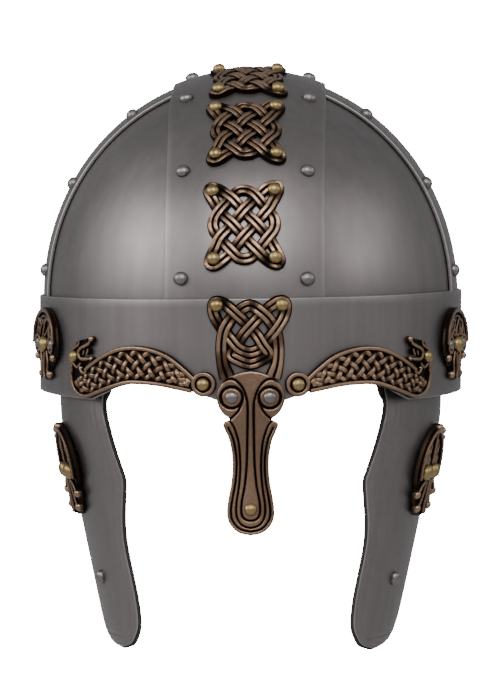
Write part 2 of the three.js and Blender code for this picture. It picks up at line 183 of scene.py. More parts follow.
def smoothstep(x):
    """Three x squared less two x cubed, between 0 and 1."""
    x = np.clip(x, 0, 1)
    return x * x * (3 - 2 * x)


def crossing_lift(y):
    """The front strap's rise over the side strap: a smooth step from RAMP_START in to RAMP_END."""
    return LIFT * smoothstep((RAMP_START - np.abs(y)) / (RAMP_START - RAMP_END))


def onto_ellipsoid(x, y, z):
    """Turns a point with the straps, scales it onto the ellipsoid; gives that point and its normal.

    The normal is the point over the squares of the semi-axes. Below the springing the wall is upright.
    """
    turned_x = x * math.cos(STRAP_TURN) - y * math.sin(STRAP_TURN)
    turned_y = x * math.sin(STRAP_TURN) + y * math.cos(STRAP_TURN)
    size = np.array([SKULL_WIDE, SKULL_DEEP, RISE])
    above = np.maximum(z, 0)
    foot = np.stack([turned_x, turned_y, above], -1)
    foot = foot / np.linalg.norm(foot / size, axis=-1, keepdims=True)
    normal = unit(foot / size**2)
    foot[..., 2] += SPRING + np.minimum(z, 0)
    return foot, normal


def onto_skull(across, up, out):
    """The front strap's face: across it, and along its middle line from the springing over the crown."""
    total = FRONT_ARC[0][-1]
    climb = np.interp(np.clip(up, 0, total), *FRONT_ARC)
    below = np.minimum(up, 0) + np.minimum(total - up, 0)
    narrow = np.sqrt(1 - (across / SKULL_WIDE) ** 2)
    z = RISE * narrow * np.sin(climb) + below
    foot, normal = onto_ellipsoid(across, -SKULL_DEEP * narrow * np.cos(climb), z)
    stand = out + crossing_lift(foot[..., 1])
    return (foot + normal * stand[..., None]) * MM


def onto_side(across, up, out):
    """The side strap's face: across it, and along its middle line from the right ear over the crown."""
    total = SIDE_ARC[0][-1]
    climb = np.interp(np.clip(up, 0, total), *SIDE_ARC)
    below = np.minimum(up, 0) + np.minimum(total - up, 0)
    narrow = np.sqrt(1 - (across / SKULL_DEEP) ** 2)
    z = RISE * narrow * np.sin(climb) + below
    foot, normal = onto_ellipsoid(SKULL_WIDE * narrow * np.cos(climb), across, z)
    return (foot + normal * out[..., None]) * MM


def onto_guard(across, up, out):
    """A cheek guard's face: elliptical sections that narrow downwards and tuck in behind the band."""
    tucked = np.clip(up, TUCK_FROM, TUCK_TO) - TUCK_FROM
    wide = GUARD_WIDE + GUARD_TAPER * np.minimum(up, 0) - GUARD_TUCK * tucked**2
    deep = wide * GUARD_ROUND
    angle = across / GUARD_SCALE - GUARD_TURN
    foot = np.stack([wide * np.sin(angle), GUARD_BACK - deep * np.cos(angle), up], -1)
    normal = unit(np.stack([np.sin(angle) / wide, -np.cos(angle) / deep, 0 * angle], -1))
    return (foot + normal * out[..., None]) * MM


def in_place(x, y, z):
    """Points that are already where they belong."""
    return np.stack([x, y, z], -1) * MM


def turned_back(surface):
    """The same surface turned half round the upright axis, for the back of the helmet."""
    def turned(across, up, out):
        return surface(across, up, out) * np.array([-1, -1, 1])
    return turned


def mirrored(surface, side):
    """The surface as it is for side 1, and its mirror image for side -1."""
    def placed(across, up, out):
        return surface(side * across, up, out)
    return placed


def moved(surface, across_by, up_by, stretch=1.0, flatten=math.inf, turn=0.0):
    """A surface with its origin moved and turned.

    A stiff mount stands off it by the square of the distance across, over twice the radius it flattens.
    """
    def shifted(across, up, out):
        stand = out + across**2 / (2 * flatten)
        turned_across = across * math.cos(turn) - up * math.sin(turn)
        turned_up = across * math.sin(turn) + up * math.cos(turn)
        return surface(turned_across * stretch + across_by, turned_up + up_by, stand)
    return shifted


# ---- meshes ----
def grid_faces(rows, columns, close_rows=False, close_columns=False):
    """Quads between neighbours of a grid of points, going round where a side is closed."""
    row = np.arange(rows if close_rows else rows - 1)[:, None]
    column = np.arange(columns if close_columns else columns - 1)[None, :]
    after_row, after_column = (row + 1) % rows, (column + 1) % columns
    corners = [row * columns + column, row * columns + after_column,
               after_row * columns + after_column, after_row * columns + column]
    return np.stack([np.broadcast_to(c, (row.size, column.size)) for c in corners], -1).reshape(-1, 4)


class Shells:
    """Closed shells of one piece in flat coordinates; relief is 0 in hollows and 1 on ridges."""

    def __init__(self):
        self.points, self.faces, self.relief, self.count = [], [], [], 0

    def add(self, points, faces, relief):
        """Takes one shell: its points, its faces as whole arrays of one width each, and its relief."""
        self.points.append(points.reshape(-1, 3))
        for block in faces:
            self.faces += (block + self.count).tolist()
        self.relief.append(np.broadcast_to(relief, points.shape[:-1]).ravel())
        self.count += len(self.points[-1])

    def add_loops(self, loops, relief, closed):
        """Sections, one closed loop of points at each station; an open run is capped at both ends."""
        stations, around = loops.shape[:2]
        faces = [grid_faces(stations, around, close_rows=closed, close_columns=True)]
        if not closed:
            cap = np.arange(around)[None, :]
            faces += [cap[:, ::-1], cap + (stations - 1) * around]
        self.add(loops, faces, relief)

    def piece(self, name, surface, material, slot, node):
        """Lays the shells onto a surface and makes one object of them, smooth but for its creases."""
        flat = np.concatenate(self.points)
        placed = surface(flat[:, 0], flat[:, 1], flat[:, 2])
        mesh = bpy.data.meshes.new(name)
        mesh.from_pydata(placed.tolist(), [], self.faces)
        mesh.attributes.new("relief", "FLOAT", "POINT").data.foreach_set("value", np.concatenate(self.relief))
        shape = bmesh.new()
        shape.from_mesh(mesh)
        bmesh.ops.remove_doubles(shape, verts=shape.verts, dist=1e-7)
        bmesh.ops.recalc_face_normals(shape, faces=shape.faces)
        shape.to_mesh(mesh)
        shape.free()
        mesh.polygons.foreach_set("use_smooth", [True] * len(mesh.polygons))
        mesh.set_sharp_from_angle(angle=CREASE)
        mesh.materials.append(material)
        piece = bpy.data.objects.new(name, mesh)
        bpy.context.scene.collection.objects.link(piece)
        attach(piece, "root")
        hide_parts(node)


# ---- paths and profiles ----
def smooth_path(points, spacing, closed=False):
    """A Catmull-Rom curve through the points, cut again into even steps along its length."""
    p = np.asarray(points, float)
    around = [p[-1:], p, p[:2]] if closed else [2 * p[:1] - p[1:2], p, 2 * p[-1:] - p[-2:-1]]
    p = np.vstack(around)
    t = np.linspace(0, 1, 24, endpoint=False)[None, :, None]
    a, b, c, d = p[:-3, None], p[1:-2, None], p[2:-1, None], p[3:, None]
    curve = 0.5 * (2 * b + (c - a) * t + (2 * a - 5 * b + 4 * c - d) * t**2 + (3 * b - a - 3 * c + d) * t**3)
    curve = np.vstack([curve.reshape(-1, p.shape[1]), p[-2:-1]])
    walked = np.concatenate([[0], np.cumsum(np.linalg.norm(np.diff(curve, axis=0), axis=1))])
    count = max(int(round(walked[-1] / spacing)), 4) + (0 if closed else 1)
    even = np.linspace(0, walked[-1], count, endpoint=not closed)
    return np.stack([np.interp(even, walked, curve[:, k]) for k in range(p.shape[1])], -1)


def directions(path, closed=False):
    """Unit tangents along a path, from the points on either side."""
    if closed:
        return unit(np.roll(path, -1, axis=0) - np.roll(path, 1, axis=0))
    return unit(np.gradient(path, axis=0))


def cord_profile(ridges, count):
    """Across from -1 to 1 and height from 0 to 1: one round ridge, or two with a groove between.

    One ridge is the root of 1 less the fourth power of across. Each of two is the root of 1 less the
    sixth power of the distance from its own middle.
    """
    across = np.sin(np.linspace(-math.pi / 2, math.pi / 2, count))
    if ridges == 1:
        return across, np.sqrt(1 - across**4)
    return across, np.sqrt(np.clip(1 - ((np.abs(across) - 0.56) / 0.44) ** 6, 0, 1))


SINGLE = cord_profile(1, 11)
DOUBLE = cord_profile(2, 33)
LEVEL = (np.array([-1.0, 0.0, 1.0]), np.zeros(3))


def circle(x, y, radius, count):
    """Points evenly round a circle."""
    around = np.linspace(0, 2 * math.pi, count, endpoint=False)
    return np.stack([x + radius * np.cos(around), y + radius * np.sin(around)], -1)


def add_cord(shells, path, half, back, body, rise, profile=SINGLE, lift=0.0, closed=False):
    """Carries a profile along a path: straight sides from the back up to the body, then its ridges.

    lift, one value a station, raises the cord where it goes over another; half may taper likewise. A
    cord is darker where it dives under another: painted shade from the strand that crosses over it.
    """
    across, ridge = profile
    tangent = directions(path, closed)
    side = np.stack([tangent[:, 1], -tangent[:, 0]], -1)
    half = np.broadcast_to(half, len(path))[:, None]
    reach = half * across[None, :]
    top = back + body + np.broadcast_to(lift, len(path))[:, None] + rise * ridge[None, :]
    edges = half * np.array([-1.0, 1.0])[None, :]
    reach = np.concatenate([edges[:, :1], reach, edges[:, 1:]], 1)
    height = np.concatenate([np.full((len(path), 1), back), top, np.full((len(path), 1), back)], 1)
    flat = path[:, None, :] + side[:, None, :] * reach[:, :, None]
    # painted shade: the relief drops where the cord dives under another strand
    under = np.clip(np.broadcast_to(-lift / (np.max(np.abs(lift)) + 1e-9), len(path)), 0, 1)
    bright = np.concatenate([[0.3], ridge**2.5, [0.3]])
    relief = bright[None, :] * (1 - 0.9 * np.sqrt(under))[:, None]
    shells.add_loops(np.concatenate([flat, height[..., None]], -1), relief, closed)


def weave(path, pitch, closed=False):
    """Over and under: the sine of twice the slope, times the cosine of the distance across in pitches.

    A strand that leans one way is over at even crossings and under at odd ones, and the other way round
    for a strand that leans back, so every strand goes over and under in turn.
    """
    tangent = directions(path, closed)
    lean = 2 * tangent[:, 0] * tangent[:, 1]
    return KNOT_LIFT * lean * np.cos(math.pi * path[:, 0] / pitch)


def add_dome(shells, x, y, back, body, radius, rise, turns=28, rings=8, relief=1.0):
    """A round head: straight sides up to the body, then half an ellipse turned about its axis."""
    slope = np.linspace(math.pi / 2, 0, rings)[:, None]
    around = np.linspace(0, 2 * math.pi, turns, endpoint=False)[None, :]
    reach = np.vstack([np.full((1, 1), radius), radius * np.sin(slope[:-1])])
    height = np.vstack([np.full((1, 1), back), back + body + rise * np.cos(slope[:-1])])
    loops = np.stack([x + reach * np.cos(around), y + reach * np.sin(around),
                      height + 0 * around], -1)
    peak = np.array([[x, y, back + body + rise]])
    base = np.arange(turns)
    last = base + (rings - 1) * turns
    fan = np.stack([last, np.roll(last, -1), np.full(turns, rings * turns)], -1)
    faces = [grid_faces(rings, turns, close_columns=True), fan, base[None, ::-1]]
    shade = np.concatenate([np.zeros(turns), np.full((rings - 1) * turns + 1, relief)])
    shells.add(np.vstack([loops.reshape(-1, 3), peak]), faces, shade)


def add_ribbon(shells, path, half, back, height, dish=0.0, columns=9, relief=0.1):
    """A flat strip along a path, its face level or dished by a parabola across."""
    tangent = directions(path)
    side = np.stack([tangent[:, 1], -tangent[:, 0]], -1)
    v = np.linspace(-1, 1, columns)
    half = np.broadcast_to(half, len(path))[:, None]
    reach = np.concatenate([half * v, half * v[::-1]], 1)
    face = np.concatenate([back + height - dish * (1 - v**2), np.full(columns, back)])
    flat = path[:, None, :] + side[:, None, :] * reach[:, :, None]
    loops = np.concatenate([flat, np.broadcast_to(face[None, :, None], flat.shape[:2] + (1,))], -1)
    shells.add_loops(loops, relief, False)


def add_wall(shells, along, start, stop, outer, inner, swap=False, closed=False, columns=24, edge=0.5):
    """A sheet between two edges: out across its face, over a quarter-round edge and back inside.

    outer and inner give the height out of the surface from (along, across). swap puts along on the
    surface's own across axis, as for a band that runs round.
    """
    turn = np.linspace(0, math.pi / 2, 5)[None, :]
    rim = edge * (1 - np.cos(turn))
    fall = edge * (1 - np.sin(turn))
    inside = np.linspace(0, 1, columns)[None, 1:-1]
    start, stop = start[:, None], stop[:, None]
    middle = start + edge + inside * (stop - start - 2 * edge)
    across = np.concatenate([start + rim, middle, stop - rim[:, ::-1]], 1)
    drop = np.concatenate([fall, 0 * inside, fall[:, ::-1]], 1)
    station = np.broadcast_to(along[:, None], across.shape)
    face = outer(station, across) - drop
    under = inner(station, across)
    back = slice(None, None, -1)
    loop_across = np.concatenate([across, across[:, back]], 1)
    loop_out = np.concatenate([face, under[:, back]], 1)
    loop_along = np.concatenate([station, station], 1)
    order = (loop_along, loop_across) if swap else (loop_across, loop_along)
    # the rounded edges get relief 1, the ridge colour: rubbed wear and a painted highlight along the rim
    rubbed_and_highlit = smoothstep(fall[0] / edge + 0.5)
    wear_and_painted_light = np.concatenate([rubbed_and_highlit, 0 * inside[0], rubbed_and_highlit[::-1], 0 * drop[0]])
    shells.add_loops(np.stack([*order, loop_out], -1), wear_and_painted_light * np.ones((len(along), 1)), closed)


def level(out):
    """A face of a sheet that stays at one height out of the surface."""
    return lambda station, across: 0 * across + out


# ---- materials ----
def new_group(name, inputs, outputs):
    """An empty shader node group with named sockets: (name, kind, value) in, (name, kind) out."""
    group = bpy.data.node_groups.new(name, "ShaderNodeTree")
    for label, kind, value in inputs:
        socket = group.interface.new_socket(label, in_out="INPUT", socket_type=kind)
        if value is not None:
            socket.default_value = value
    for label, kind in outputs:
        group.interface.new_socket(label, in_out="OUTPUT", socket_type=kind)
    return group, group.nodes.new("NodeGroupInput"), group.nodes.new("NodeGroupOutput")


def math_node(nodes, links, operation, first, second):
    """One Math node fed by sockets or numbers."""
    node = nodes.new("ShaderNodeMath")
    node.operation = operation
    for index, value in enumerate((first, second)):
        if isinstance(value, (int, float)):
            node.inputs[index].default_value = value
        else:
            links.new(value, node.inputs[index])
    return node.outputs[0]


def noise(nodes, links, vector, size, detail):
    """A Noise Texture's factor; size is a number or a socket."""
    node = nodes.new("ShaderNodeTexNoise")
    node.inputs["Detail"].default_value = detail
    links.new(vector, node.inputs["Vector"])
    if isinstance(size, (int, float)):
        node.inputs["Scale"].default_value = size
    else:
        links.new(size, node.inputs["Scale"])
    return node.outputs["Fac"]


def map_range(nodes, links, value, low, high, to_low=0.0, to_high=1.0, kind="LINEAR"):
    """A Map Range node from low..high to to_low..to_high."""
    node = nodes.new("ShaderNodeMapRange")
    node.interpolation_type = kind
    links.new(value, node.inputs["Value"])
    node.inputs["From Min"].default_value = low
    node.inputs["From Max"].default_value = high
    node.inputs["To Min"].default_value = to_low
    node.inputs["To Max"].default_value = to_high
    return node.outputs[0]


def mix_colours(nodes, links, factor, first, second):
    """From the first colour to the second as the factor goes from 0 to 1."""
    node = nodes.new("ShaderNodeMix")
    node.data_type = "RGBA"
    links.new(factor, node.inputs["Factor"])
    links.new(first, node.inputs[6])
    links.new(second, node.inputs[7])
    return node.outputs[2]


def dented(nodes, links, height, strength, distance, shader):
    """A Bump node from a height, in metres, to the shader's normal."""
    dent = nodes.new("ShaderNodeBump")
    dent.inputs["Strength"].default_value = strength
    dent.inputs["Distance"].default_value = distance
    links.new(height, dent.inputs["Height"])
    links.new(dent.outputs[0], shader.inputs["Normal"])


def metal_grain():
    """Brush strokes and fine grit: noise drawn out along Z, and small round noise."""
    group, given, out = new_group("metal_grain", [
        ("Vector", "NodeSocketVector", None), ("Stroke Size", "NodeSocketFloat", 260.0),
        ("Stroke Length", "NodeSocketFloat", 0.03), ("Grit Size", "NodeSocketFloat", 1400.0)],
        [("Strokes", "NodeSocketFloat"), ("Clouds", "NodeSocketFloat"), ("Grit", "NodeSocketFloat")])
    nodes, links = group.nodes, group.links
    stretch = nodes.new("ShaderNodeCombineXYZ")
    stretch.inputs["X"].default_value = 1
    stretch.inputs["Y"].default_value = 1
    links.new(given.outputs["Stroke Length"], stretch.inputs["Z"])
    drawn = nodes.new("ShaderNodeVectorMath")
    drawn.operation = "MULTIPLY"
    links.new(given.outputs["Vector"], drawn.inputs[0])
    links.new(stretch.outputs[0], drawn.inputs[1])
    place = given.outputs["Vector"]
    strokes = noise(nodes, links, drawn.outputs[0], given.outputs["Stroke Size"], 5)
    clouds = noise(nodes, links, place, 22, 4)
    grit = noise(nodes, links, place, given.outputs["Grit Size"], 2)
    links.new(strokes, out.inputs["Strokes"])
    links.new(clouds, out.inputs["Clouds"])
    links.new(grit, out.inputs["Grit"])
    return group


def relief_wear_and_painted_light():
    """Relief, shifted by a quarter each way with the mottle, goes from hollow to body to ridge colour."""
    group, given, out = new_group("relief_wear_and_painted_light", [
        ("Relief", "NodeSocketFloat", 0.0), ("Mottle", "NodeSocketFloat", 0.5),
        ("Hollow", "NodeSocketColor", None), ("Body", "NodeSocketColor", None),
        ("Ridge", "NodeSocketColor", None)],
        [("Color", "NodeSocketColor"), ("Wear", "NodeSocketFloat")])
    nodes, links = group.nodes, group.links
    shift = math_node(nodes, links, "MULTIPLY_ADD", given.outputs["Mottle"], 0.5)
    shift.node.inputs[2].default_value = -0.25
    wear_and_painted_light = math_node(nodes, links, "ADD", given.outputs["Relief"], shift)
    low = map_range(nodes, links, wear_and_painted_light, 0.12, 0.62, kind="SMOOTHSTEP")
    high = map_range(nodes, links, wear_and_painted_light, 0.62, 1.1, kind="SMOOTHSTEP")
    patina = mix_colours(nodes, links, low, given.outputs["Hollow"], given.outputs["Body"])
    colour = mix_colours(nodes, links, high, patina, given.outputs["Ridge"])
    links.new(colour, out.inputs["Color"])
    links.new(low, out.inputs["Wear"])
    return group


GRAIN = metal_grain()
WEAR_AND_LIGHT_GROUP = relief_wear_and_painted_light()


def wear_and_light_colours(nodes, links, mottle, hollow, body, ridge):
    """The relief_wear_and_painted_light group with its three colours, fed by the relief attribute and a mottle."""
    # the relief holds wear and patina, and painted shade and a painted highlight
    relief = nodes.new("ShaderNodeAttribute")
    relief.attribute_name = "relief"
    wear_and_painted_light = nodes.new("ShaderNodeGroup")
    wear_and_painted_light.node_tree = WEAR_AND_LIGHT_GROUP
    for label, colour in (("Hollow", hollow), ("Body", body), ("Ridge", ridge)):
        wear_and_painted_light.inputs[label].default_value = (*colour, 1)
    links.new(relief.outputs["Fac"], wear_and_painted_light.inputs["Relief"])
    links.new(mottle, wear_and_painted_light.inputs["Mottle"])
    return wear_and_painted_light


def metal(name, hollow, body, ridge, rough, strokes, length, bump, patina=False):
    """A metal with brush strokes, clouds, grit and wear; hollow, body and ridge are its colours.

    Strokes tint the colour by 6 % and, with the grit, make the bump. Clouds, and patina, vary roughness.
    Besides wear and patina, the relief colours hold painted shade and a painted highlight.
    """
    material = bpy.data.materials.new(name)
    material.use_nodes = True
    nodes, links = material.node_tree.nodes, material.node_tree.links
    shader = nodes["Principled BSDF"]
    place = nodes.new("ShaderNodeTexCoord")
    grain = nodes.new("ShaderNodeGroup")
    grain.node_tree = GRAIN
    grain.inputs["Stroke Size"].default_value = strokes
    grain.inputs["Stroke Length"].default_value = length
    links.new(place.outputs["Object"], grain.inputs["Vector"])
    wear_and_painted_light = wear_and_light_colours(nodes, links, grain.outputs["Clouds"], hollow, body, ridge)
    tint = nodes.new("ShaderNodeHueSaturation")
    shade = map_range(nodes, links, grain.outputs["Strokes"], 0.3, 0.7, 0.94, 1.06)
    links.new(shade, tint.inputs["Value"])
    links.new(wear_and_painted_light.outputs["Color"], tint.inputs["Color"])
    links.new(tint.outputs[0], shader.inputs["Base Color"])
    uneven = map_range(nodes, links, grain.outputs["Clouds"], 0.3, 0.7, rough - 0.05, rough + 0.07)
    if patina:
        fouled = map_range(nodes, links, wear_and_painted_light.outputs["Wear"], 0, 1, 0.3, 0)
        uneven = math_node(nodes, links, "ADD", uneven, fouled)
    shader.inputs["Metallic"].default_value = 1
    links.new(uneven, shader.inputs["Roughness"])
    height = math_node(nodes, links, "ADD", grain.outputs["Strokes"], grain.outputs["Grit"])
    dented(nodes, links, height, bump, 0.001, shader)
    return material


def hide():
    """Near-black leather: pores from a Voronoi pattern, soft blotches, and a paler edge: rubbed wear and a
    painted highlight.
    """
    material = bpy.data.materials.new("leather")
    material.use_nodes = True
    nodes, links = material.node_tree.nodes, material.node_tree.links
    shader = nodes["Principled BSDF"]
    place = nodes.new("ShaderNodeTexCoord")
    blotch = noise(nodes, links, place.outputs["Object"], 60, 6)
    wear_and_painted_light = wear_and_light_colours(nodes, links, blotch, (0.006, 0.0045, 0.004), (0.01, 0.0075, 0.0065),
                        (0.02, 0.015, 0.012))
    links.new(wear_and_painted_light.outputs["Color"], shader.inputs["Base Color"])
    shader.inputs["IOR"].default_value = 1.3
    pores = nodes.new("ShaderNodeTexVoronoi")
    pores.inputs["Scale"].default_value = 900
    links.new(place.outputs["Object"], pores.inputs["Vector"])
    links.new(map_range(nodes, links, blotch, 0.3, 0.7, 0.62, 0.85), shader.inputs["Roughness"])
    dented(nodes, links, pores.outputs["Distance"], 0.4, 0.0006, shader)
    return material


def pale_paper():
    """The studio sweep's plain paper, lit so well that it shows white."""
    material = bpy.data.materials.new("pale_paper")
    material.use_nodes = True
    nodes, links = material.node_tree.nodes, material.node_tree.links
    shader = nodes["Principled BSDF"]
    shader.inputs["Base Color"].default_value = (0.55, 0.55, 0.55, 1)
    shader.inputs["Roughness"].default_value = 0.9
    shader.inputs["Emission Color"].default_value = (1, 1, 1, 1)
    ray = nodes.new("ShaderNodeLightPath")
    glow = math_node(nodes, links, "MULTIPLY", ray.outputs["Is Camera Ray"], 25.0)
    links.new(glow, shader.inputs["Emission Strength"])
    return material


IRON = metal("iron_sheet", (0.118, 0.107, 0.104), (0.14, 0.128, 0.125), (0.22, 0.205, 0.2), 0.44,
             strokes=180, length=0.05, bump=0.02)
IRON_RIVET = metal("rivet_iron", (0.065, 0.059, 0.057), (0.09, 0.082, 0.079), (0.125, 0.114, 0.11), 0.42,
                   strokes=600, length=1, bump=0.12)
BRONZE = metal("bronze", (0.006, 0.004, 0.003), (0.07, 0.042, 0.027), (0.2, 0.13, 0.086), 0.37,
               strokes=500, length=1, bump=0.12, patina=True)
BRASS = metal("rivet_brass", (0.07, 0.048, 0.021), (0.12, 0.083, 0.037), (0.19, 0.136, 0.062), 0.4,
              strokes=400, length=1, bump=0.15)
LEATHER = hide()


# ---- iron: straps, skull plates, band, guards ----
def make_straps():
    """The front strap over the side strap, each a sheet with rounded edges along the skull.

    The front strap's underside stays on the side strap, level, within BRIDGE of the crown.
    """
    def under(station, across):
        middle = onto_skull(0 * station, station, 0 * station)[..., 1] / MM
        bridged = smoothstep((np.abs(middle) - BRIDGE) / BRIDGE_RAMP)
        return -SHEET - crossing_lift(middle) * bridged

    low = SKIRT - SPRING
    for name, surface, arc, stations, inner in (("sagittal_strap", onto_skull, FRONT_ARC, 260, under),
                                                ("lateral_strap", onto_side, SIDE_ARC, 240, level(-SHEET))):
        half = np.full(stations, STRAP_HALF)
        strap = Shells()
        add_wall(strap, np.linspace(low, arc[0][-1] - low, stations), -half, half, level(0), inner)
        strap.piece(f"{name}_fine", surface, IRON, "iron_sheet", name)


def make_skull_plates():
    """Quarter shells under the straps: at each height the plate runs from one strap to the other.

    A point is the semi-axes times the cosine of its slope, times the sine and cosine of its angle round.
    """
    corners = {"front_left": (-1, -1), "front_right": (1, -1), "back_right": (1, 1), "back_left": (-1, 1)}
    for name, (along_x, along_y) in corners.items():
        top = math.sqrt((PLATE_EDGE / SKULL_WIDE) ** 2 + (PLATE_EDGE / SKULL_DEEP) ** 2)
        slope = np.concatenate([np.zeros(4), np.linspace(0, math.acos(top), 56)])
        drop = np.concatenate([np.linspace(SKIRT - SPRING, -0.5, 4), np.zeros(56)])
        narrow = np.cos(slope)
        first = np.arcsin(np.clip(PLATE_EDGE / (SKULL_WIDE * narrow), 0, 1))
        last = np.arccos(np.clip(PLATE_EDGE / (SKULL_DEEP * narrow), 0, 1))
        last = np.maximum(last, first + 1e-4)
        angle = first[:, None] + (last - first)[:, None] * np.linspace(0, 1, 50)[None, :]
        x = along_x * SKULL_WIDE * narrow[:, None] * np.sin(angle)
        y = along_y * SKULL_DEEP * narrow[:, None] * np.cos(angle)
        z = RISE * np.sin(slope)[:, None] + drop[:, None] + 0 * angle
        foot, normal = onto_ellipsoid(x, y, z)
        outer = foot - normal * (SHEET + GAP)
        inner = foot - normal * (2 * SHEET + GAP)
        loops = np.concatenate([outer, inner[:, ::-1]], 1)
        plate = Shells()
        plate.add_loops(loops, 0.2, False)
        plate.piece(f"skull_plate_{name}_fine", in_place, IRON, "iron_sheet", f"skull_plate_{name}")


def make_band():
    """The brow band: a ring whose lower edge rises in two eye arches, with the nasal's tongue."""
    half_round = BAND_ARC[0][-1]
    along = np.linspace(-half_round, half_round, 720, endpoint=False)
    edge = smooth_path(BROW_EDGE, 1.0)
    low = np.interp(np.abs(along), edge[:, 0], edge[:, 1])
    side = onto_band(along, 0 * along, 0 * along)[:, 0] / MM
    high = BAND_TOP + side * math.tan(BAND_TILT)
    band = Shells()
    add_wall(band, along, low, high, level(0), level(-SHEET), swap=True, closed=True, columns=12, edge=0.6)
    tongue = smooth_path([(0, 1.4), (0, -20), (0, -40), (0, -52)], 1.5)
    width = np.interp(-tongue[:, 1], [-2, 8, 24, 44, 50, 52], [9, 6.5, 5.5, 7.5, 7, 5])
    add_ribbon(band, tongue, width, -SHEET, SHEET, relief=0.2)
    band.piece("brow_band_fine", onto_band, IRON, "iron_sheet", "brow_band")


def guard_edges(drops, low_by=0.0):
    """The guard's front and rear edges, as distances round it, at each drop below the band."""
    wanted = np.where(drops > 0, drops * GUARD_LOW / (GUARD_LOW + low_by), drops)
    front, rear = smooth_path(GUARD_FRONT, 0.5), smooth_path(GUARD_REAR, 0.5)
    first = np.interp(wanted, front[:, 1], front[:, 0])
    last = np.interp(wanted, rear[:, 1], rear[:, 0])
    return np.radians(first) * GUARD_SCALE, np.radians(last) * GUARD_SCALE


def make_guards():
    """Each cheek guard, its border bevelled down towards the edge, and its leather behind it.

    Stations crowd towards the round tip as a power of what is left. The bevel is a smooth step of the
    distance in from the edge, with a groove along its inner side.
    """
    run = 1 - (1 - np.linspace(0, 1, 150)) ** 1.7
    for name, side in SIDES.items():
        surface = mirrored(onto_guard, side)
        drops = -GUARD_HIGH + (GUARD_LOW + GUARD_HIGH - 0.1) * run
        first, last = guard_edges(drops)

        def bevel(station, across, first=first, last=last, drops=drops):
            start = np.interp(-station, drops, first)
            stop = np.interp(-station, drops, last)
            inset = np.minimum(across - start, stop - across) * 0.85
            inset = np.minimum(inset, (GUARD_LOW + station) * 0.9)
            groove = 0.22 * np.exp(-(((inset - 5.5) / 0.6) ** 2))
            return -0.55 * (1 - smoothstep(inset / 5.5)) - groove

        guard = Shells()
        add_wall(guard, -drops, first, last, bevel, level(-SHEET), columns=90, edge=0.4)
        guard.piece(f"cheek_guard_{name}_fine", surface, IRON, "iron_sheet", f"cheek_guard_{name}")

        tall = GUARD_LOW + GUARD_HIGH + LINING_SHOWS - 0.2
        drops = np.concatenate([np.linspace(-LINING_HIGH, -GUARD_HIGH - 0.5, 12), -GUARD_HIGH + tall * run])
        first, last = guard_edges(drops, low_by=LINING_SHOWS)
        flare = 2.2 * smoothstep((2 - drops) / 5) * smoothstep((LINING_HIGH + drops) / 18)
        lining = Shells()
        add_wall(lining, -drops, first - 0.2 - flare, last, level(-SHEET - LINING_GAP),
                 level(-SHEET - LINING_GAP - LINING), columns=40)
        lining.piece(f"cheek_lining_{name}_fine", surface, LEATHER, "leather", f"cheek_lining_{name}")


# ---- rivets ----
def make_rivet(name, surface, across, up, radius=3.3, rise=2.7, back=-0.2, washer=0.0):
    """A round iron head; washer is the radius of a flat ring under it, or 0 for none."""
    rivet = Shells()
    if washer:
        add_dome(rivet, 0, 0, back, 0.35, washer, 0.35, relief=0.4)
    add_dome(rivet, 0, 0, back, 0.45 + (0.4 if washer else 0), radius, rise)
    rivet.piece(f"{name}_fine", moved(surface, across, up), IRON_RIVET, "rivet_iron", name)


def make_rivets():
    """The rows down both edges of the straps, and those of the band, the nasal and the guards."""
    rows = [(side * RIVET_ROW, up) for up in climbed(FRONT_ARC, FRONT_RIVETS) for side in (-1, 1)]
    for index, (across, up) in enumerate(rows):
        make_rivet(f"strap_rivet_{index + 1}", onto_skull, across, up)
        make_rivet(f"strap_rivet_{index + 7}", turned_back(onto_skull), across, up)
    crown = climbed(FRONT_ARC, math.pi / 2)
    for index, side in enumerate((-1, 1)):
        make_rivet(f"strap_rivet_{index + 13}", onto_skull, side * RIVET_ROW, crown)
    rows = [(side * RIVET_ROW, up) for up in climbed(SIDE_ARC, SIDE_RIVETS) for side in (-1, 1)]
    for index, (across, up) in enumerate(rows):
        make_rivet(f"side_rivet_{index + 1}", onto_side, across, up)
        make_rivet(f"side_rivet_{index + 7}", turned_back(onto_side), across, up)
    for index, across in enumerate(BAND_RIVETS):
        make_rivet(f"band_rivet_{index + 1}", turned_back(onto_band), across, BAND_RIVETS_UP)
    for index, side in enumerate((-1, 1)):
        make_rivet(f"nasal_rivet_{index + 1}", onto_band, side * 8.282, EYE_UP, 2.8, 1.6, back=2.5,
                   washer=4.1)
    for name, side in SIDES.items():
        make_rivet(f"guard_rivet_{name}_1", onto_guard, side * TIP_RIVET_ANGLE * GUARD_SCALE, TIP_RIVET_UP)


# ---- bronze ----
def brass_heads(name, surface, heads, node, back=GAP, body=CAST - 0.4):
    """The brass rivet heads that hold one casting."""
    brass = Shells()
    for x, y, radius in heads:
        add_dome(brass, x, y, back, body, radius, radius * 0.82)
    brass.piece(name, surface, BRASS, "rivet_brass", node)


def corner_loop(x, y):
    """Points that take a strand round the rivet in one corner, x and y giving its quarter."""
    return [(x * 9.4, y * 16.4), (x * 12.7, y * 18.6), (x * 15.2, y * 18.7), (x * 15.4, y * 15.9),
            (x * 12.8, y * 10.4)]


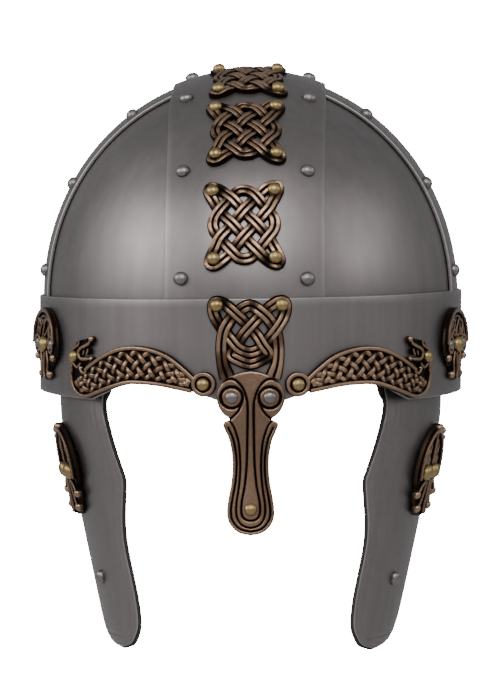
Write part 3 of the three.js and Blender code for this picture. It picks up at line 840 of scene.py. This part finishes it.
def make_knot_plates():
    """Openwork squares: a ring and two long loops along the diagonals, going over and under."""
    ux, uy = KNOT_UNIT
    quarter = [(0, 2.65 * uy), (0.5 * ux, 2.55 * uy), (ux, 2.15 * uy), (2.03 * ux, 1.05 * uy),
               (2.47 * ux, 0.5 * uy)]
    half = quarter + [(2.6 * ux, 0)] + [(x, -y) for x, y in quarter[::-1]]
    ring = half + [(-x, y) for x, y in half[-2:0:-1]]
    upper = [(-2 * ux, -uy), (-ux, 0), (0, uy), (ux, 2 * uy)]
    loop = upper + corner_loop(1, 1) + [(-x, -y) for x, y in upper] + corner_loop(-1, -1)
    strands = [ring, loop, [(-x, y) for x, y in loop]]
    heads = [(x * KNOT_RIVET[0], y * KNOT_RIVET[1], 2.9) for x in (-1, 1) for y in (-1, 1)]
    for index, middle in enumerate(climbed(FRONT_ARC, KNOT_CLIMBS)):
        for place, surface in (("front", onto_skull), ("back", turned_back(onto_skull))):
            node = f"knot_plate_{place}_{index + 1}"
            knot = Shells()
            for strand in strands:
                path = smooth_path(strand, 0.8, closed=True)
                lift = weave(path, ux, closed=True)
                add_cord(knot, path, 2.25, GAP, 0.8, 1.25, DOUBLE, lift, closed=True)
                # a wider flat foot, near-black on top: patina, and painted shade between the strands
                add_cord(knot, path, 2.7, GAP, 0.3, 0, LEVEL, closed=True)
            laid = moved(surface, 0, middle, turn=KNOT_TURN)
            knot.piece(f"{node}_fine", laid, BRONZE, "bronze", node)
            brass_heads(f"{node}_brass", laid, heads, node)


def make_brow_knot():
    """The brow knot: a ring whose arms run down to the nasal, and one strand ending in a U and a V."""
    pitch = 6.1
    arms = [(-10.2, 12.6), (-12.1, 19), (-12.5, 26.5), (-11.6, 32.8), (-9.4, 37.4), (-6.1, 41.2), (0, 44.9)]
    arms += [(-x, y) for x, y in arms[-2::-1]]
    corner = [(9.6, 44.6), (12.8, 46.5), (15.5, 46.4), (16.2, 43.6), (15.2, 39.6), (12.3, 34.9)]
    bend = [(8.6, 30.2), (4.9, 25.9)]
    right = [(0, 35.3), (3.2, 38.7), (6.1, 41.4)] + corner + bend + [(0, 24.0)]
    back = [(-x, y) for x, y in (corner + bend)[::-1]] + [(-6.1, 41.4), (-3.2, 38.7), (0, 35.3)]
    point = [(3.2, 31.5), (5.7, 27.2), (8.3, 22.9), (5.2, 20.6)]
    knot = Shells()
    path = smooth_path(arms, 0.8)
    half = 2.4 + 0.7 * smoothstep((20 - path[:, 1]) / 7)
    add_cord(knot, path, half, GAP, 0.8, 1.3, DOUBLE, weave(path, pitch))
    # a wider flat foot, near-black on top: patina, and painted shade between the strands
    add_cord(knot, path, half + 0.5, GAP, 0.6, 0, LEVEL)
    strand = right + back + point + [(0, 18.8)] + [(-x, y) for x, y in point[::-1]]
    path = smooth_path(strand, 0.8, closed=True)
    add_cord(knot, path, 2.2, GAP, 0.8, 1.3, DOUBLE, weave(path, pitch, closed=True), closed=True)
    # a wider flat foot, near-black on top: patina, and painted shade between the strands
    add_cord(knot, path, 2.8, GAP, 0.6, 0, LEVEL, closed=True)
    laid = moved(onto_band, 0, 0, turn=KNOT_TURN / 2)
    knot.piece("brow_knot_fine", laid, BRONZE, "bronze", "brow_knot")
    brass_heads("brow_knot_brass", laid, [(-14.3, 45.1, 2.9), (14.3, 45.1, 2.9)], "brow_knot")


def distance_to(points, line):
    """Least distance from each point to a run of straight lines."""
    best = np.full(points.shape[:-1], 1e9)
    for start, stop in zip(line[:-1], line[1:]):
        along = stop - start
        share = np.clip(((points - start) @ along) / (along @ along), 0, 1)
        best = np.minimum(best, np.linalg.norm(points - start - share[..., None] * along, axis=-1))
    return best


def make_nasal():
    """The nasal: a half-width for each height, and grooves sunk into its face.

    A groove's depth is a bell curve of the distance to its line. The edge is rounded as a quarter circle.
    Colour is rubbed bright between the grooves, and brightest on their shoulders.
    """
    outline = [(15.8, 0), (15.2, 4), (14.3, 6.8), (13.0, 9.3), (11.6, 11.3), (9.2, 13.2), (6.4, 14.7),
               (3.2, 15.1), (-0.8, 13.9), (-3.6, 12), (-6.0, 9.2), (-7.2, 11.4), (-8.4, 12.1), (-9.8, 11.8),
               (-12, 10.9), (-15, 9.6), (-19, 8.7), (-25.6, 8.0), (-34, 8.5), (-42, 9.9), (-47.2, 10.5),
               (-51.5, 10.0), (-55, 7.9), (-57.4, 4.6), (-58.4, 0)]
    edge = smooth_path([(w, z) for z, w in outline], 0.4)
    order = np.argsort(edge[:, 1])
    turn = np.linspace(0, math.pi, 320)
    z = -21.3 - 37.1 * np.cos(turn)
    width = np.interp(z, edge[order, 1], edge[order, 0])
    u = np.sin(np.linspace(-math.pi / 2, math.pi / 2, 131))
    x = width[:, None] * u[None, :]
    up = z[:, None] + 0 * x
    plan = np.stack([np.abs(x), up], -1)
    rim = distance_to(plan, edge[::3])
    lid = [(1.4, -12), (1.35, 0), (2.3, 5.2), (3.6, 8.2), (5.2, 10.4), (6.8, 11.7), (8.6, 12.2),
           (10.3, 11.9), (12, 11)]
    cheek = [(9.4, -6.2), (7, -4.1), (5, -1.6), (3.7, 2)]
    inner = [(9.3, -6.4), (7.6, -9), (6.3, -12.4), (5.2, -17), (4.6, -24), (4.6, -30), (5.2, -37), (6.2, -44),
             (6.2, -49), (4.9, -52.4), (2.6, -54.2), (0, -54.8)]
    stem = [(1.4, -12), (1.7, -26), (2.6, -36), (3.7, -42), (4.1, -46.5), (3.6, -49.6), (2, -51.2),
            (0, -51.6)]

    def groove(line, wide=0.42, deep=1.0):
        path = smooth_path(line, 0.8)
        return deep * np.exp(-((distance_to(plan, path) / wide) ** 2))

    eye = np.hypot(np.abs(x) - EYE_ACROSS, up - EYE_UP)
    cut = np.exp(-(((rim - 1.9) / 0.42) ** 2)) * smoothstep((-8.8 - up) / 1.2)
    cut = np.maximum(cut, groove(inner))
    cut = np.maximum(cut, groove(stem, 0.45))
    cut = np.maximum(cut, groove(lid, 0.5))
    cut = np.maximum(cut, groove(cheek, 0.5))
    cut = np.maximum(cut, 1.15 * np.exp(-(((eye - 4.75) / 0.6) ** 2)))
    rounding = 0.9 * (1 - np.sqrt(1 - (1 - np.clip(rim / 1.1, 0, 1)) ** 2))
    swell = 0.5 * np.exp(-(((up - 4) / 14) ** 2))
    top = GAP + 2.3 + swell - cut - rounding
    relief = np.clip(1 - cut * 1.25, 0, 1) * np.clip(1 - 0.35 * rounding, 0, 1)
    shoulder = np.exp(-((((cut - 0.28) / 0.14)) ** 2))
    relief = relief * 0.9 + 0.3 * shoulder
    face = np.stack([x, up, top], -1)
    back = np.stack([x, up, np.full_like(x, GAP)], -1)
    nasal = Shells()
    nasal.add_loops(np.concatenate([face, back[:, ::-1]], 1), np.concatenate([relief, 0 * relief], 1), False)
    nasal.piece("nasal_fine", onto_band, BRONZE, "bronze", "nasal")
    brass_heads("nasal_brass", onto_band, [(0, -46.5, 2.9)], "nasal", body=2.1)


def make_brow_plates():
    """A lens over each eye: dished ground, raised rims, a four-strand plait and a beast's head.

    Each strand of the plait swings across as a flattened triangle wave, a quarter of a wave apart, and
    goes over and under with the cosine of twice its swing.
    """
    spine = [(25.5, 8.6, 3.4), (32.5, 12.1, 5.6), (41, 15.6, 7.7), (50, 17.2, 8.6), (60, 16.9, 8.7),
             (70, 14.0, 8.3), (79.5, 10.1, 7.5), (86.6, 7.1, 6.5), (92.2, 7.9, 5.2), (95.0, 11.6, 3.6),
             (95.3, 15.0, 2.8)]
    path = smooth_path(spine, 0.7)
    line, half = path[:, :2], path[:, 2]
    tangent = directions(line)
    side = np.stack([tangent[:, 1], -tangent[:, 0]], -1)
    walked = np.linspace(0, 1, len(line))
    for name, sign in SIDES.items():
        plate = Shells()
        add_ribbon(plate, line, half - 0.4, GAP, 1.2, dish=0.15, relief=0.0)
        for edge in (-1, 1):
            rim = line + side * (edge * (half - 1.0))[:, None]
            start = 0 if edge > 0 else 2
            stop = len(rim) - (26 if edge < 0 else 0)
            add_cord(plate, rim[start:stop], 1.05, GAP, 1.5, 1.2)
        waves = 0.7 * (len(line) - 1) / 25.0
        room = np.clip(half - 2.9, 0.5, None)
        for strand in range(4):
            phase = 2 * math.pi * (waves * walked + strand / 4)
            swing = np.arcsin(0.97 * np.sin(phase)) / math.asin(0.97)
            rise = np.cos(phase) / np.sqrt(1 - (0.97 * np.sin(phase)) ** 2)
            lift = 0.45 * np.clip(rise, -1, 1) * np.cos(2 * math.pi * swing)
            plait = line + side * (swing * room)[:, None]
            add_cord(plate, plait[3:-10], 1.25, GAP, 0.8, 1.1, lift=lift[3:-10])
        add_cord(plate, circle(*ROUNDEL, 4.5, 60), 1.1, GAP, 1.5, 1.2, closed=True)
        add_dome(plate, *ROUNDEL, GAP, 0.9, 4.6, 0.1, relief=0.0)
        add_beast_head(plate)
        laid = mirrored(onto_band, sign)
        node = f"brow_plate_{name}"
        plate.piece(f"{node}_fine", laid, BRONZE, "bronze", node)
        brass_heads(f"{node}_brass", laid, [(*ROUNDEL, 2.9), (94.8, 19.8, 2.7)], node)


def add_beast_head(plate):
    """A gaping beast's head: skull and jaws as tapering strips, and curled ridges for lip, ear and jaw."""
    skull = smooth_path([(95.2, 13.0, 2.6), (95.2, 19.5, 3.0), (93.0, 23.2, 3.2), (88.8, 25.2, 2.6),
                         (84.8, 26.6, 1.9), (82.0, 28.6, 1.3)], 0.6)
    add_ribbon(plate, skull[:, :2], skull[:, 2], GAP, 1.3, relief=0.0)
    jaw = smooth_path([(93.6, 17.0, 2.3), (89.0, 18.0, 1.7), (85.5, 18.7, 1.3), (81.8, 19.1, 0.9)], 0.6)
    add_ribbon(plate, jaw[:, :2], jaw[:, 2], GAP, 1.2, relief=0.0)
    ridges = [
        ([(82.2, 28.4), (82.7, 26.6), (85.8, 25.1), (89.4, 23.8), (91.3, 22.0), (90.9, 19.9), (89.0, 18.9),
          (85.6, 19.0), (82.2, 19.2)], 0.95),
        ([(90.4, 27.4), (91.2, 25.4), (93.6, 24.2), (96.3, 22.4), (97.3, 19.3), (97.0, 15.5),
          (96.6, 12.5)], 0.8),
        ([(92.6, 26.4), (93.4, 25.4), (94.8, 25.0)], 0.55),
        ([(83.5, 23.9), (84.0, 22.4), (84.8, 21.0)], 0.65),
        ([(86.6, 23.0), (86.9, 21.8), (87.4, 20.9)], 0.55),
        ([(89.2, 17.0), (91.0, 15.5), (92.4, 14.8), (94.2, 15.6), (95.8, 16.8)], 0.75),
        ([(84.6, 13.6), (86.6, 12.5), (88.7, 12.8), (90.2, 14.4)], 0.9),
    ]
    for points, half in ridges:
        path = smooth_path(points, 0.5)
        ends = np.minimum(1, 0.6 + np.linspace(0, 3, len(path)))
        taper = half * np.minimum(ends, ends[::-1])
        add_cord(plate, path, taper, GAP, 1.3, 1.2)
    add_dome(plate, 82.2, 28.3, GAP, 1.4, 1.35, 1.2)
    add_dome(plate, 82.2, 19.2, GAP, 1.4, 1.05, 1.0)
    add_dome(plate, 90.2, 14.4, GAP, 1.4, 1.1, 1.0)


def add_field(mount, middle, wide, tall, loops_x, loops_y, half=0.95, turn=0.0):
    """An interlaced field: a closed figure whose two sines run at different rates, woven over and under."""
    t = np.linspace(0, 2 * math.pi, 260, endpoint=False)
    x = middle[0] + wide * np.sin(loops_x * t + turn)
    path = np.stack([x, middle[1] + tall * np.sin(loops_y * t)], -1)
    rise = 0.45 * np.sin((loops_x + loops_y) * t + turn + math.pi / 4)
    add_cord(mount, path, half, GAP, 1.3, 0.9, lift=rise, closed=True)


def outline_plate(mount, half, height):
    """A flat plate: its outline, mirrored, drawn in towards the middle in rings."""
    right = smooth_path(half, 0.8)
    loop = np.vstack([right, right[-2:0:-1] * np.array([-1, 1])])
    middle = loop.mean(axis=0)
    rings = []
    for share, out in ((0.02, 0), (1, 0), (1, height - 0.5), (0.975, height), (0.02, height)):
        flat = middle + (loop - middle) * share
        rings.append(np.column_stack([flat, np.full(len(loop), GAP + out)]))
    mount.add_loops(np.array(rings), np.array([[0.3], [0.3], [0.3], [0], [0]]), False)


def make_temple_mounts():
    """A beast mask on each temple: rimmed, interlaced brow, brass boss, iron eyes and a long snout."""
    half = [(0, 17.6), (8.5, 15.6), (15, 10), (18.4, 2), (17.2, -4), (13.4, -6.2), (11.4, -9.2), (7.2, -11.6),
            (5.6, -16), (0, -17.4)]
    reach = climbed(BAND_ARC, TEMPLE_ANGLE)
    for name, side in SIDES.items():
        node = f"temple_mount_{name}"
        laid = moved(onto_band, side * reach, TEMPLE_UP, flatten=105)
        mount = Shells()
        outline_plate(mount, half, 1.4)
        brow = smooth_path([(-16.6, 0.5), (-14.6, 8.6), (-8.2, 14.4), (0, 16.4), (8.2, 14.4), (14.6, 8.6),
                            (16.6, 0.5)], 0.8)
        add_cord(mount, brow, 1.2, GAP, 1.7, 1.5)
        inner = smooth_path([(-13.4, 2), (-11.6, 7.6), (-6.4, 12), (0, 13.6), (6.4, 12), (11.6, 7.6),
                             (13.4, 2)], 0.8)
        add_cord(mount, inner, 0.6, GAP, 1.5, 0.9)
        add_field(mount, (0, 8.2), 10.0, 3.9, 1, 5, half=0.75)
        add_field(mount, (0, 8.2), 9.6, 3.9, 2, 5, half=0.7, turn=1.2)
        for x in (-11, 11):
            add_cord(mount, circle(x, 0.3, 3.9, 36), 0.9, GAP, 1.6, 1.2, closed=True)
            add_dome(mount, x * 1.18, -6.0, GAP, 1.5, 1.9, 1.7)
            add_dome(mount, x * 0.62, -14.2, GAP, 1.5, 1.8, 1.7)
            curl = smooth_path([(x * 0.36, -3.4), (x * 0.55, -8.5), (x * 0.5, -12.5), (x * 0.62, -14.2)], 0.7)
            add_cord(mount, curl, 0.95, GAP, 1.5, 1.3)
        for x in (-1.6, 1.6):
            snout = smooth_path([(x * 1.9, -3.6), (x * 1.2, -8), (x, -12.4), (x * 1.5, -16)], 0.7)
            add_cord(mount, snout, 1.1, GAP, 1.9, 1.6)
        mount.piece(f"{node}_fine", laid, BRONZE, "bronze", node)
        brass_heads(f"{node}_brass", laid, [(0, 0, 3.9)], node, body=2.4)
        eyes = Shells()
        for x in (-11, 11):
            add_dome(eyes, x, 0.3, GAP, 1.6, 2.6, 2.0)
        eyes.piece(f"{node}_iron_eyes", laid, IRON_RIVET, "rivet_iron", node)


def make_cheek_mounts():
    """A shield on each guard: oval rim, two interlaced fields, a pair of brass bosses and beaded whiskers."""
    half = [(0, 21.5), (5, 19.6), (10.4, 13), (13.2, 4), (12.6, -4), (9.6, -8.4), (11.4, -11.4), (9.2, -15),
            (7.6, -18.4), (4, -21), (0, -21.8)]
    for name, side in SIDES.items():
        node = f"cheek_mount_{name}"
        laid = moved(onto_guard, side * CHEEK_ANGLE * GUARD_SCALE, CHEEK_UP, stretch=1.22, flatten=72)
        mount = Shells()
        outline_plate(mount, half, 2.2)
        rim = smooth_path([(-11.4, -3.5), (-11.6, 4.5), (-9, 12.2), (-4.4, 17.6), (0, 19.2), (4.4, 17.6),
                           (9, 12.2), (11.6, 4.5), (11.4, -3.5)], 0.8)
        add_cord(mount, rim, 1.15, GAP, 2.4, 1.5)
        add_cord(mount, np.stack([np.zeros(24), np.linspace(3.5, 18, 24)], -1), 0.8, GAP, 2.3, 1.2)
        for x in (-5.2, 5.2):
            add_field(mount, (x, 8.8), 3.1, 6.0, 5, 2, half=0.62)
            add_field(mount, (x, 8.8), 2.6, 6.0, 3, 4, half=0.6, turn=0.8)
        for x, y, radius in ((1.5, 20.4, 2.2), (6.2, 18.6, 2.0), (8.6, 15.2, 1.6)):
            add_dome(mount, side * x, y, GAP, 2.6, radius, radius)
        for x in (-1, 1):
            add_dome(mount, x * 10.6, -10.6, GAP, 2.4, 2.0, 1.9)
            add_dome(mount, x * 7.4, -17.4, GAP, 2.4, 2.0, 1.9)
            curl = smooth_path([(x * 4, -4.5), (x * 7.4, -6.4), (x * 10.6, -10.6)], 0.7)
            add_cord(mount, curl, 1.0, GAP, 2.4, 1.2)
            curl = smooth_path([(x * 2.6, -5), (x * 4.4, -11), (x * 7.4, -17.4)], 0.7)
            add_cord(mount, curl, 1.0, GAP, 2.4, 1.2)
            snout = smooth_path([(x * 1.2, -4), (x * 1.3, -12), (x * 2.0, -17), (x * 1.0, -20.4)], 0.7)
            add_cord(mount, snout, 1.05, GAP, 2.7, 1.5)
        mount.piece(f"{node}_fine", laid, BRONZE, "bronze", node)
        brass_heads(f"{node}_brass", laid, [(-4.6, -0.5, 3.9), (4.6, -0.5, 3.9)], node, body=2.8)


studio()
make_straps()
make_skull_plates()
make_band()
make_guards()
make_rivets()
make_knot_plates()
make_brow_knot()
make_nasal()
make_brow_plates()
make_temple_mounts()
make_cheek_mounts()
